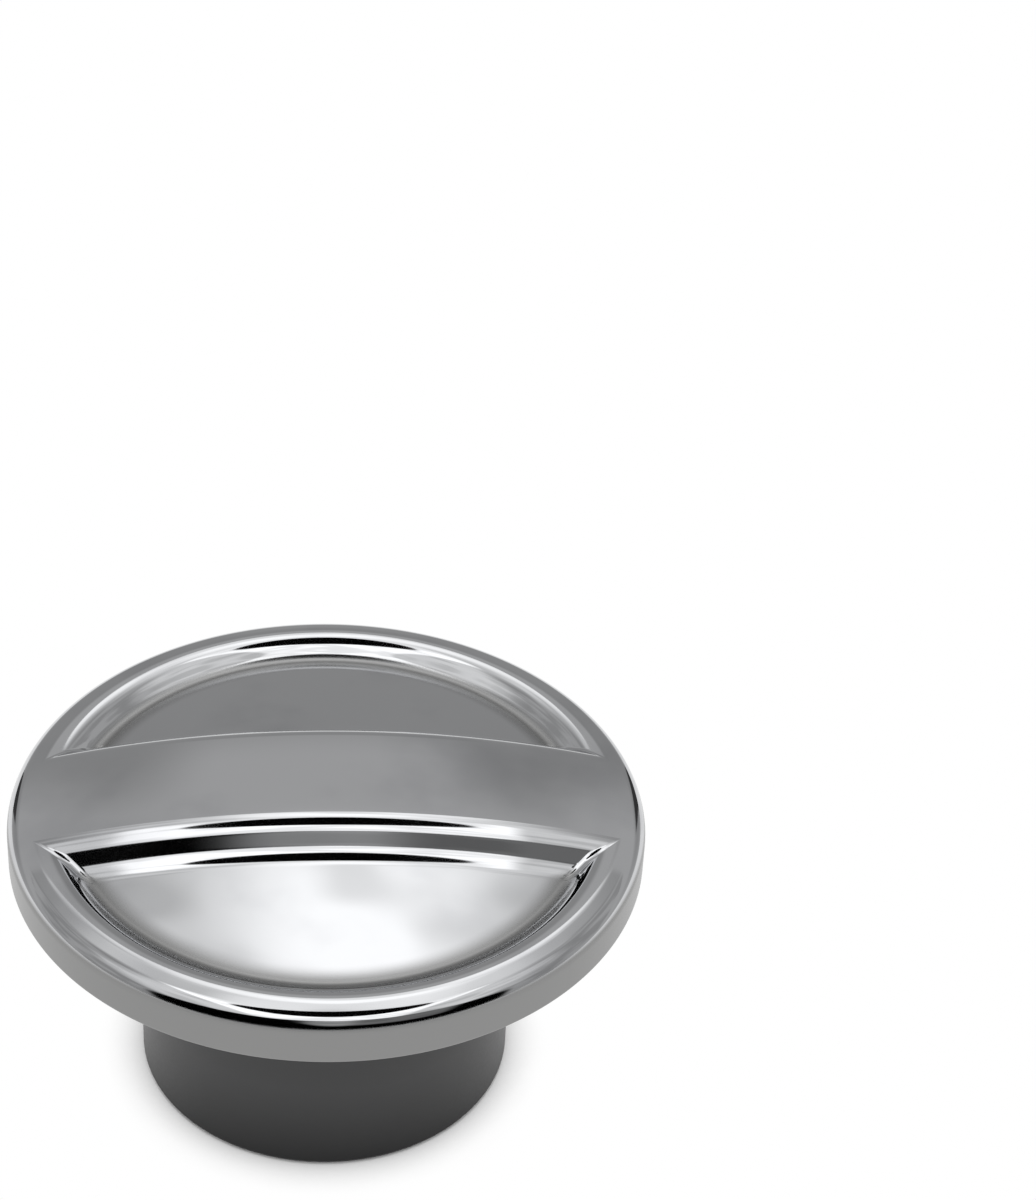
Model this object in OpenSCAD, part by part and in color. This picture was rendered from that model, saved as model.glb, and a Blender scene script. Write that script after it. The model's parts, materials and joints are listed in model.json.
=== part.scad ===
// Push-in cover for the round accessory socket on the front of a stand mixer: a plated cap
// on a dark sleeve that fills the socket. Two D-shaped finger recesses in the crowned face
// leave a grip bar between them, along X. The cover stands on the sleeve's end, with +Z out
// through the middle of the face. All lengths are in millimetres.

/* [Cap] */
// Diameter of the cap
cap_d = 58; // [54:0.5:66]
// Height of the upright side wall above the cap's lower rim
side_h = 3; // [2.8:0.1:6]
// Radius of the rounded edge between the side wall and the face
edge_r = 1.7; // [1.2:0.1:2.2]
// Rise of the face from the top of the rounded edge to its centre
crown_h = 3.5; // [2.8:0.1:4]
// Wall thickness of the cap
wall = 1.8; // [1.4:0.1:2.2]

/* [Finger recesses] */
// Width of the ring of face around the recesses, out to the cap's side wall
ring_w = 3.5; // [3.2:0.1:4.2]
// Width of the grip bar between the two recesses
bar_w = 13.4; // [11:0.1:16]
// Depth of the recess floors below the face, whose crown they follow
depth = 2.2; // [2.1:0.1:2.7]
// Slope of the outer wall of a recess, in degrees up from the floor
slope = 44; // [38:1:46]
// Radius of the hollow where the sloping wall meets the floor
cove_r = 1.6; // [1:0.1:1.9]
// Slope of the sides of the grip bar, in degrees
bar_slope = 48; // [44:1:56]
// Radius of the hollow along the foot of the grip bar
foot_r = 2.9; // [2:0.1:3]
// Radius of the rounded edge all round a recess
lip_r = 2.8; // [2:0.1:3]

/* [Sleeve] */
// Diameter of the sleeve, which slides into the socket
sleeve_d = 34.8; // [32:0.1:38]
// Length of the sleeve below the cap's lower rim
sleeve_len = 24; // [18:0.5:32]
// Wall thickness of the sleeve
sleeve_wall = 2.6; // [2:0.1:4]
// Radius of the rounded outer edge at the sleeve's end
end_r = 0.6; // [0.3:0.1:1]

/* [Spigot] */
// Length of the spigot under the cap that carries the sleeve
spigot_len = 11; // [6:0.5:16]
// Wall thickness of the spigot
spigot_wall = 2; // [1.5:0.1:3]
// Drop of the flat collar round the spigot, where the sleeve seats, below the recess floors
collar_h = 0.5; // [0.3:0.1:0.8]
// Gap between the spigot and the sleeve, on each side
fit_gap = 0.05; // [0.02:0.01:0.1]
// Width of the lead-in chamfers on the spigot's end and in the sleeve's mouth
lead_in = 0.8; // [0.4:0.1:1]

/* [Hidden] */
$fn = 96;

// A rounding is larger than stated by this much, so that it crosses the faces it meets
cross = 0.01;
// How far a cutting shape runs past what it cuts
past = 1;
// Segments round the large turned shapes
turn_fn = 180;
// Segments round the full circles that the sections of the face and the floors are cut from
face_fn = 720;

cap_r = cap_d / 2;
rim_z = sleeve_len;
top_z = rim_z + side_h + edge_r + crown_h;

// The face is a sphere that runs smoothly into the rounded edge, so its radius follows from
// the place and radius of that edge and from the crown's rise
edge_at = cap_r - edge_r;
edge_z = rim_z + side_h;
face_r = (pow(edge_at, 2) + pow(top_z - edge_z, 2) - pow(edge_r, 2)) / (2 * crown_h);
face_z = top_z - face_r;

floor_r = face_r - depth;
recess_r = cap_r - ring_w;

sleeve_r = sleeve_d / 2;
bore_r = sleeve_r - sleeve_wall;
spigot_r = bore_r - fit_gap;
seat_z = dome_z(floor_r - wall, sleeve_r) - collar_h;

// Height of a sphere about the face's centre, at a distance from the cap's axis
function dome_z(r, at) = face_z + sqrt(pow(r, 2) - pow(at, 2));

// Distance of a recess wall from the face's centre, in section. The wall meets the face at the
// place at, and slopes down from there towards larger places.
function wall_reach(at, wall_slope) =
    at * sin(wall_slope) + sqrt(pow(face_r, 2) - pow(at, 2)) * cos(wall_slope);

// Centre of a ball that is off a recess wall by a distance and reach from the face's centre
function ball_centre(at, wall_slope, off, reach) =
    let(
        out = wall_reach(at, wall_slope) + off,
        back = sqrt(pow(reach, 2) - pow(out, 2))
    )
    [out * sin(wall_slope) - back * cos(wall_slope), out * cos(wall_slope) + back * sin(wall_slope)];

// Half of the cap's outline with no recesses: side wall, rounded edge and crowned face
module cap_outline() {
    difference() {
        intersection() {
            translate([0, rim_z]) square([cap_r, top_z - rim_z]);
            translate([0, face_z]) circle(face_r, $fn = face_fn);
        }
        difference() {
            translate([edge_at, edge_z]) square([edge_r + past, top_z - edge_z]);
            translate([edge_at, edge_z]) circle(edge_r + cross);
        }
    }
}

// Half of the space under the cap with no recesses: the outline, a wall thickness further in
module hollow_outline() {
    intersection() {
        translate([0, rim_z - past]) square([cap_r - wall, top_z - rim_z]);
        translate([0, face_z]) circle(face_r - wall, $fn = face_fn);
    }
}

// One side of a recess in section, with its origin at the face's centre: rounded edge, sloping
// wall and hollow at the foot, out to a far end on the floor's side. For the underside of the
// shell it grows by the wall thickness and keeps a sharp edge.
module side_outline(at, wall_slope, hollow_r, far, grow) {
    lip = ball_centre(at, wall_slope, -lip_r, face_r - lip_r);
    lip_end = lip * face_r / (face_r - lip_r);
    foot = ball_centre(at, wall_slope, hollow_r, floor_r + hollow_r);
    foot_end = foot * (floor_r - grow) / (floor_r + hollow_r);
    turn = hollow_r + grow;
    foot_top = foot[1] - turn * cos(wall_slope);
    out = wall_reach(at, wall_slope) - grow;
    low = sqrt(pow(floor_r - grow, 2) - pow(cap_r, 2));
    high = face_r + past;
    sharp = [[(out - high * cos(wall_slope)) / sin(wall_slope), high]];
    rounded = [lip + lip_r * [sin(wall_slope), cos(wall_slope)], lip_end, [lip_end[0], high]];
    difference() {
        polygon(concat(
            [[far, low], [(out - low * cos(wall_slope)) / sin(wall_slope), low]],
            grow > 0 ? sharp : rounded,
            [[far, high]]
        ));
        difference() {
            translate([foot[0] - turn - past, low - past])
                square([foot_end[0] - foot[0] + turn + past, foot_top - low + past]);
            translate(foot) circle(turn + cross);
        }
        if (grow == 0) translate(lip) circle(lip_r + cross);
    }
}

// Sweeps a section along the bar, about the line through the face's centre that is parallel
// to Y. The section has its height above that line along X, and its place across along Y.
module along_bar() {
    sweep = asin(cap_r / (floor_r - wall));
    translate([0, 0, face_z]) rotate([-90, 0, 0])
        rotate_extrude(angle = 2 * sweep, start = -90 - sweep) mirror([1, -1]) children();
}

// The recess on the +Y side
module recess(grow = 0) {
    intersection() {
        translate([0, 0, face_z]) rotate_extrude($fn = turn_fn) difference() {
            mirror([1, 0]) side_outline(-recess_r, slope, cove_r, 0, grow);
            circle(floor_r - grow, $fn = face_fn);
        }
        along_bar() side_outline(bar_w / 2, bar_slope, foot_r, cap_r, grow);
    }
}

// Both recesses
module recesses(grow = 0) {
    recess(grow);
    mirror([0, 1, 0]) recess(grow);
}

// The tube under the cap that the sleeve is pushed on, up to the collar at its root
module spigot() {
    end_z = seat_z - spigot_len;
    root_z = dome_z(face_r - wall / 2, spigot_r);
    collar_r = sleeve_r - end_r;
    collar_z = dome_z(floor_r - wall / 2, collar_r);
    rotate_extrude($fn = turn_fn) polygon([
        [spigot_r - spigot_wall, end_z],
        [spigot_r - lead_in, end_z],
        [spigot_r, end_z + lead_in],
        [spigot_r, seat_z],
        [collar_r, seat_z],
        [collar_r, collar_z],
        [spigot_r, collar_z],
        [spigot_r, root_z],
        [spigot_r - spigot_wall, root_z],
    ]);
}

module cap() {
    color([0.78, 0.79, 0.8]) difference() {
        union() {
            difference() {
                rotate_extrude($fn = turn_fn) cap_outline();
                difference() {
                    rotate_extrude($fn = turn_fn) hollow_outline();
                    recesses(wall);
                }
            }
            spigot();
        }
        recesses();
    }
}

module sleeve() {
    color([0.17, 0.17, 0.18]) rotate_extrude($fn = turn_fn) difference() {
        translate([bore_r, 0]) square([sleeve_wall, seat_z]);
        difference() {
            translate([sleeve_r - end_r, -past]) square([end_r + past, end_r + past]);
            translate([sleeve_r - end_r, end_r]) circle(end_r + cross);
        }
        polygon([
            [bore_r - past, -past],
            [bore_r + lead_in + past, -past],
            [bore_r - past, lead_in + past],
        ]);
    }
}

cap();
sleeve();
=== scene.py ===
import json
import math

import bmesh
import bpy
import numpy as np
from mathutils import Matrix, Vector


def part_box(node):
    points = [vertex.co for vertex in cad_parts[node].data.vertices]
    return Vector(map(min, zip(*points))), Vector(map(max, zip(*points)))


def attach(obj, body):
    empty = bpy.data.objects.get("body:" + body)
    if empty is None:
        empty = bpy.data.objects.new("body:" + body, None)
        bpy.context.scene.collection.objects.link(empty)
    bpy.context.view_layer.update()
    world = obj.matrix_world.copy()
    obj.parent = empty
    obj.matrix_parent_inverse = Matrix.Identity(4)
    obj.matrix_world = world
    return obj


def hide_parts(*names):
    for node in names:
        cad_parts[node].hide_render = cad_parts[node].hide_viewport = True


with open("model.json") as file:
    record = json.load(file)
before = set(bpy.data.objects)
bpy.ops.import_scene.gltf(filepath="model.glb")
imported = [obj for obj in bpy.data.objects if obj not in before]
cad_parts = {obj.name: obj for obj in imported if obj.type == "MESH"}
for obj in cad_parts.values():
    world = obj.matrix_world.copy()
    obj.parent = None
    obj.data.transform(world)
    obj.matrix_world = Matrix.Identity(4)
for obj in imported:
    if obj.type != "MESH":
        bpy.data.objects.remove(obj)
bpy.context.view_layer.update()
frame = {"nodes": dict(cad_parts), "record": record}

# The view looks down on the cover from in front, with the cover low and left in the picture.
# The camera first faces the cover squarely, and is then panned right and tilted up.
EYE_HEIGHT = math.radians(39.909)
EYE_DISTANCE = 0.2724
EYE_TURN = math.radians(-1.357)
LOOKED_AT = Vector((0, 0, 0.0232))
PAN = math.radians(3.636)
TILT = math.radians(4.861)
ROLL = math.radians(0.577)
LENS_MM = 88.2
FILM_MM = 36
lens = bpy.data.cameras.new("view")
lens.sensor_fit = "VERTICAL"
lens.sensor_height = FILM_MM
lens.lens = LENS_MM
lens.clip_start = 0.01
eye = bpy.data.objects.new("view", lens)
bpy.context.scene.collection.objects.link(eye)
facing_turn = (
    Matrix.Rotation(EYE_TURN, 4, "Z")
    @ Matrix.Rotation(math.pi / 2 - EYE_HEIGHT, 4, "X")
    @ Matrix.Rotation(-PAN, 4, "Y")
    @ Matrix.Rotation(TILT, 4, "X")
    @ Matrix.Rotation(ROLL, 4, "Z")
)
towards_eye = Vector((
    math.sin(EYE_TURN) * math.cos(EYE_HEIGHT),
    -math.cos(EYE_TURN) * math.cos(EYE_HEIGHT),
    math.sin(EYE_HEIGHT),
))
eye.matrix_world = Matrix.Translation(LOOKED_AT + EYE_DISTANCE * towards_eye) @ facing_turn
bpy.context.scene.camera = eye

# The cap is one thin-walled casting, plated bright all over: a crowned face with two D-shaped
# finger recesses that leave a grip bar, a rounded edge and an upright side wall. Every edge is
# rolled round, so its skin is worked out here as one surface, in millimetres.
MM = 0.001
CAP_LOW, CAP_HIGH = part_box("cap")
CAP_R = CAP_HIGH.x / MM
TOP_Z = CAP_HIGH.z / MM
MOUNTS = {mount["name"]: mount for mount in frame["record"]["mounts"]}
RIM_Z = MOUNTS["rim_face"]["pos_m"][2] / MM
SIDE_H = 3
EDGE_R = 1.7
WALL = 1.8
RING_W = 3.5
BAR_HALF = 6.7
DEPTH = 2.2
SLOPE = math.radians(44)
BAR_SLOPE = math.radians(48)
COVE_R = 1.6
FOOT_R = 2.9
LIP_R = 2.8
# Roundings that the drawing leaves out: between a recess's two walls, and on the thin edges
CORNER_R = 0.8
BREAK_R = 0.25

EDGE_AT = CAP_R - EDGE_R
EDGE_UP = TOP_Z - RIM_Z - SIDE_H
FACE_R = (EDGE_AT**2 + EDGE_UP**2 - EDGE_R**2) / (2 * (EDGE_UP - EDGE_R))
FACE_Z = TOP_Z - FACE_R
FLOOR_R = FACE_R - DEPTH
RECESS_R = CAP_R - RING_W


def length(vectors):
    return np.linalg.norm(vectors, axis=-1)


# Each of the next shapes gives, for rows of points, the distance outside the shape and the
# direction straight away from it
def ball(points, radius):
    """A sphere about the face's centre."""
    away = points - np.array([0, 0, FACE_Z])
    reach = length(away)
    return reach - radius, away / reach[:, None]


def round_wall(points, radius):
    """A cylinder about the cap's axis."""
    around = points * np.array([1, 1, 0])
    reach = np.maximum(length(around), 1e-6)
    return reach - radius, around / reach[:, None]


def above_rim(points):
    """All that lies above the cap's lower rim."""
    return RIM_Z - points[:, 2], np.tile(np.array([0.0, 0, -1]), (len(points), 1))


def wall_reach(at, slope):
    """Distance of a sloping recess wall from the face's centre, met by the face at a place."""
    return at * math.sin(slope) + math.sqrt(FACE_R**2 - at**2) * math.cos(slope)


def ring_wall(points, grow):
    """The space inside a recess's sloping outer wall, turned about the cap's axis."""
    reach, around = round_wall(points, 0)
    out, up = math.sin(SLOPE), math.cos(SLOPE)
    inside = (points[:, 2] - FACE_Z) * up - reach * out - wall_reach(-RECESS_R, SLOPE)
    return -inside - grow, around * out - np.array([0, 0, up])


def bar_wall(points, side, grow):
    """The space beside the bar, swept about the line along Y through the face's centre."""
    across = (points - np.array([0, 0, FACE_Z])) * np.array([1, 0, 1])
    reach = length(across)
    out, up = math.sin(BAR_SLOPE), math.cos(BAR_SLOPE)
    inside = side * points[:, 1] * out + reach * up - wall_reach(BAR_HALF, BAR_SLOPE)
    return -inside - grow, -across / reach[:, None] * up - np.array([0, side * out, 0])


def inverse(shape):
    """The space outside a shape."""
    return -shape[0], -shape[1]


# Surfaces that meet at less than this, as the square of a sine, need no rolled edge
SMOOTH_JOIN = 1e-6


def both(first, second, radius):
    """The space inside both shapes, with the edge where they meet rolled round by a ball."""
    (near, near_way), (far, far_way) = first, second
    bend = (near_way * far_way).sum(axis=1)
    spread = np.maximum(1 - bend**2, SMOOTH_JOIN)
    near_share = (near + radius - (far + radius) * bend) / spread
    far_share = (far + radius - (near + radius) * bend) / spread
    rolled = (near_share > 0) & (far_share > 0) & (spread > SMOOTH_JOIN)
    away = near_share[:, None] * near_way + far_share[:, None] * far_way
    reach = np.maximum(length(away), 1e-9)
    way = np.where((near > far)[:, None], near_way, far_way)
    return (
        np.where(rolled, reach - radius, np.maximum(near, far)),
        np.where(rolled[:, None], away / reach[:, None], way),
    )


def recess_space(points, side, grow, lip_r):
    """The space of one finger recess, with a rounded lip on each wall. Grown by the cap's own
    wall, it is the pan that shows from below."""
    face = ball(points, FACE_R)
    ring_side = inverse(both(face, inverse(ring_wall(points, grow)), lip_r))
    bar_side = inverse(both(face, inverse(bar_wall(points, side, grow)), lip_r))
    walls = both(ring_side, bar_side, CORNER_R + grow)
    level = np.maximum(length(walls[1] * np.array([1, 1, 0])), 1e-9)
    bar_share = np.clip(0.5 - side * walls[1][:, 1] / level, 0, 1)
    foot_r = COVE_R + (FOOT_R - COVE_R) * bar_share**2 * (3 - 2 * bar_share)
    floor_off, floor_way = ball(points, FLOOR_R - grow)
    return both(walls, (-floor_off, -floor_way), foot_r + grow)


def cap_skin(points):
    """The whole cap but for its spigot."""
    outside = both(ball(points, FACE_R), round_wall(points, CAP_R), EDGE_R)
    hollow = both(ball(points, FACE_R - WALL), round_wall(points, CAP_R - WALL), BREAK_R)
    for side in (-1, 1):
        outside = both(outside, inverse(recess_space(points, side, 0, LIP_R)), 0)
        hollow = both(hollow, inverse(recess_space(points, side, WALL, BREAK_R)), BREAK_R)
    return both(both(outside, above_rim(points), BREAK_R), inverse(hollow), BREAK_R)


STEPS = 16
LONGEST_STEP = 0.6


def settle(points):
    """Moves points straight on to the cap's rounded skin, in small steps."""
    places = points.reshape(-1, 3).astype(float)
    for _ in range(STEPS):
        away, way = cap_skin(places)
        places -= np.clip(away, -LONGEST_STEP, LONGEST_STEP)[:, None] * way
    return places.reshape(points.shape)


def dome_z(reach, radius):
    """Height of a sphere about the face's centre, at a distance from the cap's axis."""
    return FACE_Z + np.sqrt(radius**2 - reach**2)


def on_face(reach, grow=0):
    return reach, dome_z(reach, FACE_R - grow)


def edge_place(at, slope, grow, lip_r):
    """How far out a recess's rounded edge runs into the face, or its sharp edge from below."""
    out = wall_reach(at, slope) - grow - lip_r
    reach = FACE_R - grow - lip_r
    place = out * math.sin(slope) - math.sqrt(reach**2 - out**2) * math.cos(slope)
    return place * (FACE_R - grow) / reach


# The skin is laid as bands of quads: the ring and rim, the bar's top and the two recesses,
# seen from above and again from below. The columns run across the bar and lie closer together
# at its ends, and the rows lie closer together over the roundings. The bands meet a little way
# beyond the roundings.
COLUMNS = 156
EVEN = np.linspace(-1, 1, COLUMNS + 1)
ACROSS = 0.75 * np.sin(np.pi / 2 * EVEN) + 0.25 * EVEN
BAR_ROWS = 12
NEAR_RUN, NEAR_ROWS = 5.2, 40
FAR_RUN, FAR_ROWS = 5.6, 42
MIDDLE_ROWS = 14
LEAST_MIDDLE = 0.6
BAR_SPARE = 0.15
RING_SPARE = 0.1


def limits(grow, lip_r):
    """How far from the middle the bar's top and the recesses reach, with their roundings."""
    bar_y = edge_place(BAR_HALF, BAR_SLOPE, grow, lip_r) - BAR_SPARE
    ring_r = -edge_place(-RECESS_R, SLOPE, grow, lip_r) + RING_SPARE
    return bar_y, ring_r


def recess_rows(grow, bar_y, ring_r):
    """Rows of points from the bar's top down its side and over the floor up to the ring."""
    tip_x = math.sqrt(ring_r**2 - bar_y**2)
    tip_turn = math.atan2(tip_x, bar_y)
    start = np.stack([tip_x * ACROSS, np.full_like(ACROSS, -bar_y)], axis=-1)
    end = ring_r * np.stack([np.sin(tip_turn * ACROSS), -np.cos(tip_turn * ACROSS)], axis=-1)
    chord = length(end - start)
    fit = np.minimum(1, chord / (NEAR_RUN + FAR_RUN + LEAST_MIDDLE))
    steps = np.concatenate([
        np.outer(np.full(NEAR_ROWS, NEAR_RUN / NEAR_ROWS), fit),
        np.outer(np.full(MIDDLE_ROWS, 1 / MIDDLE_ROWS), chord - (NEAR_RUN + FAR_RUN) * fit),
        np.outer(np.full(FAR_ROWS, FAR_RUN / FAR_ROWS), fit),
    ])
    steps += 0.2 * chord / len(steps)
    run = np.concatenate([np.zeros((1, len(ACROSS))), np.cumsum(steps, axis=0)])
    plan = start + (end - start) * (run / np.maximum(run[-1], 1e-9))[..., None]
    reach = length(plan)
    ring_up = (wall_reach(-RECESS_R, SLOPE) - grow + reach * math.sin(SLOPE)) / math.cos(SLOPE)
    bar_up = wall_reach(BAR_HALF, BAR_SLOPE) - grow + plan[..., 1] * math.sin(BAR_SLOPE)
    bar_up = np.sqrt(np.maximum(bar_up / math.cos(BAR_SLOPE), CAP_R) ** 2 - plan[..., 0] ** 2)
    low = np.maximum(dome_z(reach, FLOOR_R - grow), FACE_Z + np.maximum(ring_up, bar_up))
    z = np.minimum(low, dome_z(reach, FACE_R - grow))
    return np.concatenate([plan, z[..., None]], axis=-1)


def bar_rows(grow, bar_y, ring_r):
    """Rows of points along the bar's top, from one side to the other."""
    y = np.linspace(-bar_y, bar_y, BAR_ROWS + 1)[:, None] + 0 * ACROSS
    x = np.sqrt(ring_r**2 - y**2) * ACROSS
    return np.stack([x, y, dome_z(np.hypot(x, y), FACE_R - grow)], axis=-1)


def ring_turns(bar_y, ring_r):
    """The angles, once round, at which the recesses and the bar's ends meet the ring."""
    near = np.arctan2(math.sqrt(ring_r**2 - bar_y**2), bar_y) * ACROSS - np.pi / 2
    ends = np.arcsin(np.linspace(-bar_y, bar_y, BAR_ROWS + 1)[1:-1] / ring_r)
    return np.concatenate([near, ends, near + np.pi, ends + np.pi, near[:1] + 2 * np.pi])


TOP_LIMITS = limits(0, LIP_R)
UNDER_LIMITS = limits(WALL, BREAK_R)
INNER_R = CAP_R - WALL
SIDE_TOP = RIM_Z + SIDE_H - 0.3
NEAR_EDGE = 0.4
# Places along the ring's section, with the number of rows from each to the next
stops = [
    (on_face(TOP_LIMITS[1]), 3),
    (on_face(EDGE_AT * FACE_R / (FACE_R - EDGE_R) - BAR_SPARE), 14),
    (on_face(CAP_R), 12),
    ((CAP_R, SIDE_TOP), 4),
    ((CAP_R, RIM_Z + NEAR_EDGE), 4),
    ((CAP_R, RIM_Z), 4),
    ((CAP_R - NEAR_EDGE, RIM_Z), 2),
    ((INNER_R + NEAR_EDGE, RIM_Z), 4),
    ((INNER_R, RIM_Z), 4),
    ((INNER_R, RIM_Z + NEAR_EDGE), 5),
    (on_face(INNER_R, WALL), 3),
    (on_face(UNDER_LIMITS[1], WALL), 1),
]
section = [np.array([stops[0][0]])]
for (start, count), (end, _) in zip(stops, stops[1:]):
    section.append(np.linspace(start, end, count + 1)[1:])
section = np.concatenate(section)
INSIDE_ROWS = 8
to_under = np.clip(np.arange(len(section)) - (len(section) - 1 - INSIDE_ROWS), 0, None)[:, None]
turns = ring_turns(*TOP_LIMITS) * (1 - to_under / INSIDE_ROWS)
turns = turns + ring_turns(*UNDER_LIMITS) * to_under / INSIDE_ROWS
bands = [np.stack(
    [section[:, :1] * np.cos(turns), section[:, :1] * np.sin(turns), section[:, 1:] + 0 * turns],
    axis=-1,
)]
for grow, reaches in ((0, TOP_LIMITS), (WALL, UNDER_LIMITS)):
    recess = recess_rows(grow, *reaches)
    bands += [recess, recess * np.array([1, -1, 1]), bar_rows(grow, *reaches)]

places, quads = [], []
for band in bands:
    rows, columns = band.shape[:2]
    index = sum(len(block) for block in places) + np.arange(rows * columns).reshape(rows, columns)
    places.append((settle(band) * MM).reshape(-1, 3))
    corners = [index[:-1, :-1], index[:-1, 1:], index[1:, 1:], index[1:, :-1]]
    quads.append(np.stack(corners, axis=-1).reshape(-1, 4))
skin_mesh = bpy.data.meshes.new("cap_skin")
skin_mesh.from_pydata(np.concatenate(places).tolist(), [], np.concatenate(quads).tolist())
skin = bmesh.new()
skin.from_mesh(skin_mesh)
SAME_PLACE = 2e-7
bmesh.ops.remove_doubles(skin, verts=skin.verts, dist=SAME_PLACE)
bmesh.ops.recalc_face_normals(skin, faces=skin.faces)
skin.to_mesh(skin_mesh)
skin.free()

# The spigot under the cap, with a flat collar at its root, is part of the same casting. It
# is a turned tube that ends inside the casting's wall, and is joined to the skin.
SLEEVE_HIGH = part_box("sleeve")[1]
SLEEVE_R = SLEEVE_HIGH.x / MM
SEAT_Z = SLEEVE_HIGH.z / MM
SPIGOT_END = CAP_LOW.z / MM
SPIGOT_R = 14.75
SPIGOT_BORE = 12.75
LEAD_IN = 0.8
SLEEVE_END_R = 0.6
COLLAR_R = SLEEVE_R - SLEEVE_END_R
TUBE_SIDES = 192
around = np.arange(TUBE_SIDES) * 2 * np.pi / TUBE_SIDES
# The root reaches up into the wall that stands over it: the bar's, or a recess floor's
under_bar = np.abs(np.sin(around)) * SPIGOT_R < BAR_HALF - 1
root = np.where(
    under_bar, dome_z(SPIGOT_R, FACE_R - WALL / 2), dome_z(SPIGOT_R, FLOOR_R - WALL / 2)
)
tube_section = [
    (SPIGOT_BORE, SPIGOT_END),
    (SPIGOT_R - LEAD_IN, SPIGOT_END),
    (SPIGOT_R, SPIGOT_END + LEAD_IN),
    (SPIGOT_R, SEAT_Z),
    (COLLAR_R, SEAT_Z),
    (COLLAR_R, dome_z(COLLAR_R, FLOOR_R - WALL / 2)),
    (SPIGOT_R, dome_z(COLLAR_R, FLOOR_R - WALL / 2)),
    (SPIGOT_R, root),
    (SPIGOT_BORE, root),
]
tube = bmesh.new()
rings = []
for reach, z in tube_section:
    ring = np.stack([reach * np.cos(around), reach * np.sin(around), z + 0 * around], axis=-1)
    rings.append([tube.verts.new(place) for place in ring * MM])
for low, high in zip(rings, rings[1:] + rings[:1]):
    for start in range(len(around)):
        end = (start + 1) % len(around)
        tube.faces.new((low[start], low[end], high[end], high[start]))
bmesh.ops.recalc_face_normals(tube, faces=tube.faces)
tube_mesh = bpy.data.meshes.new("spigot")
tube.to_mesh(tube_mesh)
tube.free()
spigot = bpy.data.objects.new("spigot", tube_mesh)
bpy.context.scene.collection.objects.link(spigot)
cap = bpy.data.objects.new("plated_cap", skin_mesh)
bpy.context.scene.collection.objects.link(cap)
joined = cap.modifiers.new("spigot", "BOOLEAN")
joined.operation = "UNION"
joined.solver = "MANIFOLD"
joined.object = spigot
bpy.context.view_layer.update()
finished = cap.evaluated_get(bpy.context.evaluated_depsgraph_get())
cap.data = bpy.data.meshes.new_from_object(finished)
cap.modifiers.clear()
bpy.data.objects.remove(spigot)

# Polished metal shows the smallest facet, so the corner normals are set from the skin's own
# directions, taken just inside each face, and from the axis on the spigot.
mesh = cap.data
mesh.shade_smooth()
owner = np.repeat(np.arange(len(mesh.polygons)), [face.loop_total for face in mesh.polygons])


def read(items, name, width, kind=float):
    """Rows of values read from a mesh's corners, faces or places."""
    values = np.zeros(len(items) * width, kind)
    items.foreach_get(name, values)
    return values.reshape(-1, width)


corners = read(mesh.vertices, "co", 3)[read(mesh.loops, "vertex_index", 1, int)[:, 0]] / MM
middles = read(mesh.polygons, "center", 3)[owner] / MM
facing = read(mesh.polygons, "normal", 3)[owner]
inward = middles - corners
INSET = 0.01
NUDGE = 0.0005
near_corner = corners + INSET * inward / length(inward)[:, None]
smooth = np.stack([
    cap_skin(near_corner + nudge)[0] - cap_skin(near_corner - nudge)[0] for nudge in NUDGE * np.eye(3)
], axis=-1)
smooth /= length(smooth)[:, None]
_, radial = round_wall(corners, 0)
radial *= np.sign((radial * facing).sum(axis=1))[:, None]
turned = np.where((np.abs(facing[:, 2]) < 0.1)[:, None], radial, facing)
OFF_SKIN = 0.05
on_spigot = np.abs(cap_skin(middles)[0]) > OFF_SKIN
mesh.normals_split_custom_set(np.where(on_spigot[:, None], turned, smooth).tolist())
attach(cap, "root")
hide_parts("cap")


def add_node(tree, kind, **settings):
    """Adds a node, and sets its settings."""
    node = tree.nodes.new(kind)
    for name, value in settings.items():
        setattr(node, name, value)
    return node


def feed(tree, socket, value):
    """Joins an output to a socket, or sets the socket to a constant."""
    if isinstance(value, bpy.types.NodeSocket):
        tree.links.new(value, socket)
    else:
        socket.default_value = value


def compute(tree, operation, *values):
    """Adds a math node on outputs and constants, and gives its output."""
    node = add_node(tree, "ShaderNodeMath", operation=operation)
    for socket, value in zip(node.inputs, values):
        feed(tree, socket, value)
    return node.outputs[0]


def new_group(name, numbers, outputs, vectors=()):
    """Starts a node group with named inputs and outputs, and gives its two end nodes."""
    tree = bpy.data.node_groups.new(name, "ShaderNodeTree")
    for vector in vectors:
        tree.interface.new_socket(vector, in_out="INPUT", socket_type="NodeSocketVector")
    for number in numbers:
        tree.interface.new_socket(number, in_out="INPUT", socket_type="NodeSocketFloat")
    for output in outputs:
        tree.interface.new_socket(output, in_out="OUTPUT", socket_type="NodeSocketFloat")
    return tree, tree.nodes.new("NodeGroupInput"), tree.nodes.new("NodeGroupOutput")


def use_group(tree, group, **values):
    """Adds a group to a tree and feeds its inputs, whose names have their spaces left out."""
    node = add_node(tree, "ShaderNodeGroup", node_tree=group)
    for socket in node.inputs:
        key = socket.name.replace(" ", "")
        if key in values:
            feed(tree, socket, values[key])
    return node


def blend(tree, factor, first, second, kind="FLOAT"):
    """Adds a mix of two numbers or colours, and gives its output."""
    node = add_node(tree, "ShaderNodeMix", data_type=kind)
    ends = [socket for socket in node.inputs if socket.enabled]
    for socket, value in zip(ends, (factor, first, second)):
        feed(tree, socket, value)
    return next(socket for socket in node.outputs if socket.enabled)


def ramp(tree, value, start, end, low=0.0, high=1.0):
    """Adds a smooth step from low to high while a value goes from start to end."""
    node = add_node(tree, "ShaderNodeMapRange", interpolation_type="SMOOTHSTEP")
    for socket, setting in zip(node.inputs, (value, start, end, low, high)):
        feed(tree, socket, setting)
    return node.outputs[0]


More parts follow.
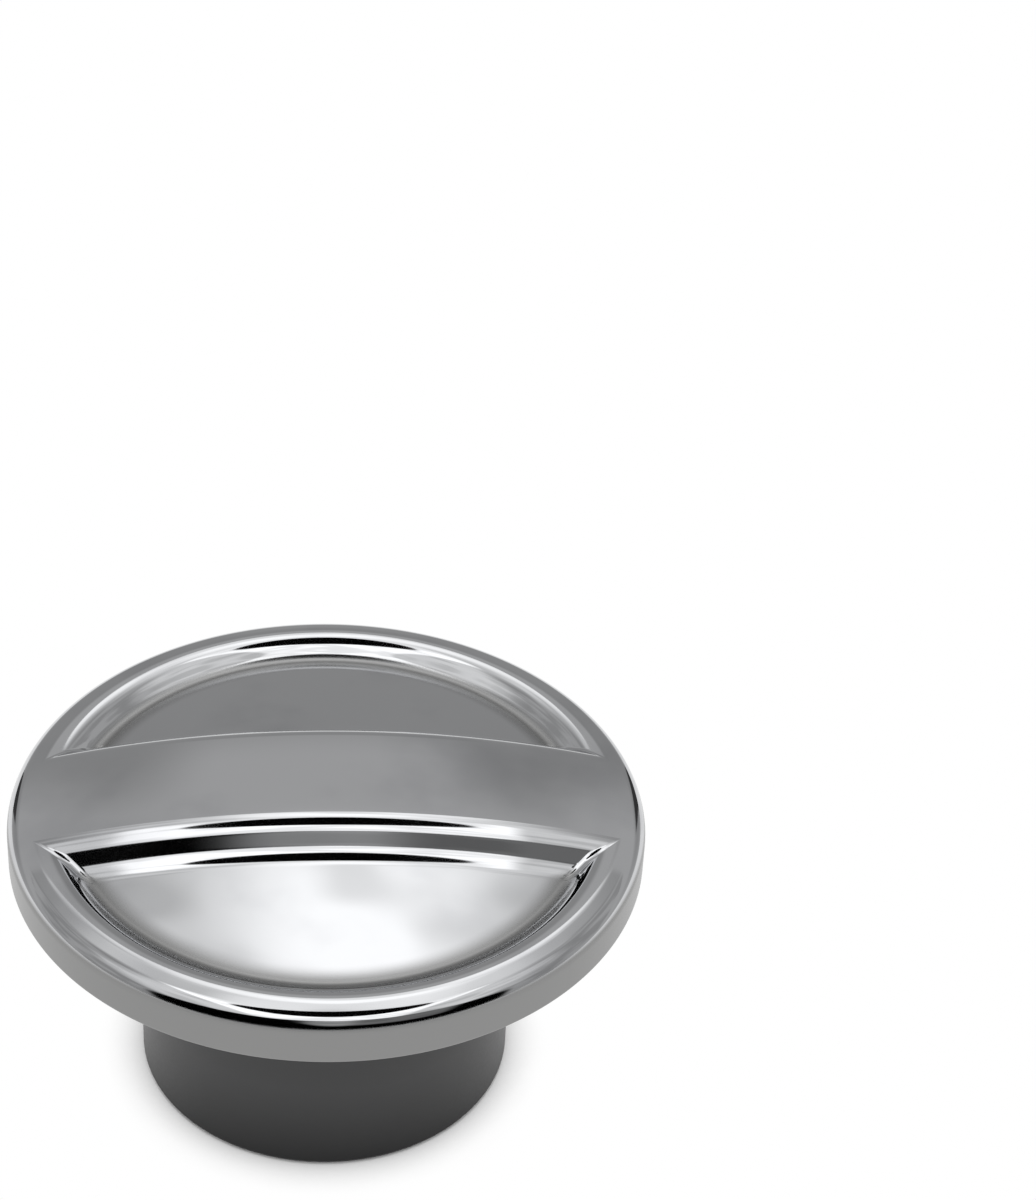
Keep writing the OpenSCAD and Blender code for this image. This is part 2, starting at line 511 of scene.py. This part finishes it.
# Marks that handling and moulding leave in any of the surfaces: a slow unevenness and a fine
# grain, both over the piece's own coordinates.
marks, marks_in, marks_out = new_group(
    "surface_marks", ("Patch Size", "Grain Size"), ("Patches", "Grain"), ("Place",)
)
for output, size, detail in (("Patches", "Patch Size", 3), ("Grain", "Grain Size", 2)):
    noise = add_node(marks, "ShaderNodeTexNoise", normalize=True)
    feed(marks, noise.inputs["Vector"], marks_in.outputs["Place"])
    feed(marks, noise.inputs["Scale"], compute(marks, "DIVIDE", 1, marks_in.outputs[size]))
    feed(marks, noise.inputs["Detail"], detail)
    feed(marks, marks_out.inputs[output], noise.outputs["Fac"])

# Bright nickel-chrome plating: mirror-bright on the face, the bar and the rounded edge, and satin
# on the side wall, whose colour is also darkened there as painted shade, with a faint haze in
# patches and a hint of unevenness under it.
SATIN_AND_SHADE_UP_TO = (RIM_Z + SIDE_H + 0.5) * MM
POLISHED_FROM = (RIM_Z + SIDE_H + 0.9) * MM
POLISHED_COLOUR = (0.592, 0.598, 0.61, 1)
HAZY_COLOUR = (0.5, 0.505, 0.52, 1)
# Painted shade: the side wall's colour is set well below the plating's own, to stand in for a dimmer
# reflection.
SATIN_AND_SHADE_COLOUR = (0.28, 0.28, 0.278, 1)
POLISHED_ROUGH = 0.05
HAZE_ROUGH = 0.04
SATIN_ROUGH = 0.3
chrome = bpy.data.materials.new("chrome_plate")
chrome.use_nodes = True
tree = chrome.node_tree
plating = tree.nodes["Principled BSDF"]
place = add_node(tree, "ShaderNodeTexCoord").outputs["Object"]
height = add_node(tree, "ShaderNodeSeparateXYZ")
feed(tree, height.inputs["Vector"], place)
polished = ramp(tree, height.outputs["Z"], SATIN_AND_SHADE_UP_TO, POLISHED_FROM)
wear = use_group(tree, marks, Place=place, PatchSize=0.012, GrainSize=0.0002)
haze = ramp(tree, wear.outputs["Patches"], 0.45, 0.75)
feed(tree, plating.inputs["Metallic"], 1)
bright = blend(tree, haze, POLISHED_COLOUR, HAZY_COLOUR, "RGBA")
# Painted shade: below the polished band the colour drops to the darker side-wall colour.
plated = blend(tree, polished, SATIN_AND_SHADE_COLOUR, bright, "RGBA")
feed(tree, plating.inputs["Base Color"], plated)
shine = compute(tree, "MULTIPLY_ADD", haze, HAZE_ROUGH, POLISHED_ROUGH)
feed(tree, plating.inputs["Roughness"], blend(tree, polished, SATIN_ROUGH, shine))
bump = add_node(tree, "ShaderNodeBump")
feed(tree, bump.inputs["Strength"], 0.02)
feed(tree, bump.inputs["Distance"], 0.0001)
feed(tree, bump.inputs["Height"], wear.outputs["Patches"])
feed(tree, plating.inputs["Normal"], bump.outputs["Normal"])
cap.data.materials.clear()
cap.data.materials.append(chrome)

# The sleeve is a plain dark moulding, pushed on the spigot up to the collar. It keeps the
# solid's own shape and gets the look of smooth matte rubber with a fine grain, and its colour
# is darkened towards its lower end as painted shade.
# Painted shade: the end colour darkens the rubber near the floor, where shade falls.
SHADED_END_COLOUR = (0.012, 0.012, 0.0123, 1)
RUBBER_COLOUR = (0.062, 0.062, 0.063, 1)
PAINTED_SHADE_UP_TO = 0.011
rubber = bpy.data.materials.new("dark_rubber")
rubber.use_nodes = True
tree = rubber.node_tree
matte = tree.nodes["Principled BSDF"]
feed(tree, matte.inputs["Specular IOR Level"], 0.25)
place = add_node(tree, "ShaderNodeTexCoord").outputs["Object"]
grain = use_group(tree, marks, Place=place, PatchSize=0.006, GrainSize=0.0003)
height = add_node(tree, "ShaderNodeSeparateXYZ")
feed(tree, height.inputs["Vector"], place)
# Painted shade: the colour darkens towards the sleeve's lower end, with random patches laid over it.
painted_shade_and_patches = ramp(tree, height.outputs["Z"], 0, PAINTED_SHADE_UP_TO)
painted_shade_and_patches = compute(tree, "MULTIPLY_ADD", grain.outputs["Patches"], 0.12, painted_shade_and_patches)
rubber_and_painted_shade = blend(tree, painted_shade_and_patches, SHADED_END_COLOUR, RUBBER_COLOUR, "RGBA")
feed(tree, matte.inputs["Base Color"], rubber_and_painted_shade)
grained = compute(tree, "MULTIPLY_ADD", grain.outputs["Grain"], 0.1, 0.33)
feed(tree, matte.inputs["Roughness"], grained)
bump = add_node(tree, "ShaderNodeBump")
feed(tree, bump.inputs["Strength"], 0.1)
feed(tree, bump.inputs["Distance"], 0.00002)
feed(tree, bump.inputs["Height"], grain.outputs["Grain"])
feed(tree, matte.inputs["Normal"], bump.outputs["Normal"])
for holder in frame["nodes"]["sleeve"].material_slots:
    holder.material = rubber

# The floor is a plain pale sheet. It is wide enough to fill the picture, and keeps the cover's
# soft shadow.
REACH = 3
FLOOR_CORNERS = [(-REACH, -REACH, 0), (REACH, -REACH, 0), (REACH, REACH, 0), (-REACH, REACH, 0)]
WHITE = (1, 1, 1, 1)
PAPER_COLOUR = (0.95, 0.95, 0.95, 1)
SHADOW_REACH = 0.008
sheet = bpy.data.meshes.new("floor")
sheet.from_pydata(FLOOR_CORNERS, [], [(0, 1, 2, 3)])
floor = bpy.data.objects.new("floor", sheet)
bpy.context.scene.collection.objects.link(floor)
paper = bpy.data.materials.new("pale_paper")
paper.use_nodes = True
tree = paper.node_tree
surface = tree.nodes["Principled BSDF"]
feed(tree, surface.inputs["Base Color"], PAPER_COLOUR)
feed(tree, surface.inputs["Roughness"], 0.9)
feed(tree, surface.inputs["Specular IOR Level"], 0.1)
white = add_node(tree, "ShaderNodeEmission")
feed(tree, white.inputs["Color"], WHITE)
feed(tree, white.inputs["Strength"], 1)
near = add_node(tree, "ShaderNodeAmbientOcclusion")
feed(tree, near.inputs["Distance"], SHADOW_REACH)
open_floor = ramp(tree, near.outputs["AO"], 0.35, 0.82)
path = add_node(tree, "ShaderNodeLightPath")
seen = path.outputs["Is Camera Ray"]
for ray in ("Is Glossy Ray", "Is Transmission Ray"):
    seen = compute(tree, "MAXIMUM", seen, path.outputs[ray])
shown = add_node(tree, "ShaderNodeMixShader")
feed(tree, shown.inputs[0], compute(tree, "MULTIPLY", seen, open_floor))
feed(tree, shown.inputs[1], surface.outputs["BSDF"])
feed(tree, shown.inputs[2], white.outputs["Emission"])
feed(tree, tree.nodes["Material Output"].inputs["Surface"], shown.outputs["Shader"])
sheet.materials.append(paper)

# The studio: even white light all round. The plating mirrors large cards with soft edges,
# each placed by its height in degrees, up from the back over the top, and its place sideways.
card, card_in, card_out = new_group(
    "light_card",
    ("Height", "Half Height", "Side", "Half Side", "Corner", "Softness"),
    ("Mask",),
    ("Direction",),
)
parts = add_node(card, "ShaderNodeSeparateXYZ")
feed(card, parts.inputs["Vector"], card_in.outputs["Direction"])
up_turn = compute(card, "ARCTAN2", parts.outputs["Z"], parts.outputs["Y"])
side_turn = compute(card, "ARCSINE", parts.outputs["X"])
corner = card_in.outputs["Corner"]
powers = []
for turn, name in ((up_turn, "Height"), (side_turn, "Side")):
    angle = compute(card, "DEGREES", turn)
    off = compute(card, "SUBTRACT", angle, card_in.outputs[name])
    off = compute(card, "ABSOLUTE", off)
    off = compute(card, "DIVIDE", off, card_in.outputs["Half " + name])
    powers.append(compute(card, "POWER", off, corner))
reach = compute(card, "ADD", *powers)
reach = compute(card, "POWER", reach, compute(card, "DIVIDE", 1, corner))
over = compute(card, "SUBTRACT", 1, reach)
over = compute(card, "DIVIDE", over, card_in.outputs["Softness"])
feed(card, card_out.inputs["Mask"], ramp(card, over, -0.5, 0.5))

# Each card's level, height, half height, side, half side, corner and softness. A high corner
# makes it square, and 2 makes it round. A card lies over the ones before it.
FRONT_CARDS = (
    (1.0, 104, 27, 0, 50, 4, 0.4),
    (0.95, 78, 44, 1, 23, 3, 0.5),
    (0.0, 166, 40, 0, 56, 4, 0.08),
    (0.2, 139, 15, 20, 14, 4, 0.5),
    (0.21, 137, 16, 5, 12, 2, 0.6),
    (0.4, 137, 16, 1, 6.5, 2, 0.9),
    (1.8, 98, 28, 0, 19, 8, 0.12),
    (1.65, 64, 22, 3.5, 10.5, 3, 1.3),
    (0.0, 88, 15.5, 1, 14, 2, 0.08),
)
BACK_CARDS = (
    (0.52, 0, 45.5, 0, 100, 12, 0.03),
    (0.36, 18, 13, 0, 60, 4, 0.8),
    (0.35, 29, 10, -15, 5, 2, 1.4),
    (0.35, 30, 10, 16, 5, 2, 1.4),
    (0.05, 6, 16, -36, 5, 4, 0.3),
    (0.05, 10, 18, 36, 5, 4, 0.3),
)
OPEN_LEVEL = 0.5
studio = bpy.data.worlds.new("studio")
bpy.context.scene.world = studio
studio.use_nodes = True
tree = studio.node_tree
direction = add_node(tree, "ShaderNodeTexCoord").outputs["Generated"]


def hang_cards(level, cards):
    """Lays a row of cards over what is behind them, and gives the level that is seen."""
    for glow, high, half_high, side, half_side, corner, softness in cards:
        mask = use_group(
            tree, card, Direction=direction, Height=high, HalfHeight=half_high,
            Side=side, HalfSide=half_side, Corner=corner, Softness=softness,
        )
        level = blend(tree, mask.outputs["Mask"], level, glow)
    return level


cloth = add_node(tree, "ShaderNodeTexNoise", normalize=True)
feed(tree, cloth.inputs["Vector"], direction)
feed(tree, cloth.inputs["Scale"], 5)
feed(tree, cloth.inputs["Detail"], 1)
creases = ramp(tree, cloth.outputs["Fac"], 0.4, 0.65)
level = hang_cards(OPEN_LEVEL, FRONT_CARDS)
level = compute(tree, "MULTIPLY", level, compute(tree, "MULTIPLY_ADD", creases, -0.25, 1))
level = hang_cards(level, BACK_CARDS)

# All that isn't mirrored is lit evenly, mostly from above
towards = add_node(tree, "ShaderNodeSeparateXYZ")
feed(tree, towards.inputs["Vector"], direction)
overhead = compute(tree, "MAXIMUM", towards.outputs["Z"], 0)
daylight = compute(tree, "MULTIPLY_ADD", overhead, 1.05, 0.3)
path = add_node(tree, "ShaderNodeLightPath")
level = blend(tree, path.outputs["Is Glossy Ray"], daylight, level)
level = blend(tree, path.outputs["Is Camera Ray"], level, 1.0)
feed(tree, tree.nodes["Background"].inputs["Color"], WHITE)
feed(tree, tree.nodes["Background"].inputs["Strength"], level)
bpy.context.scene.view_settings.view_transform = "Standard"
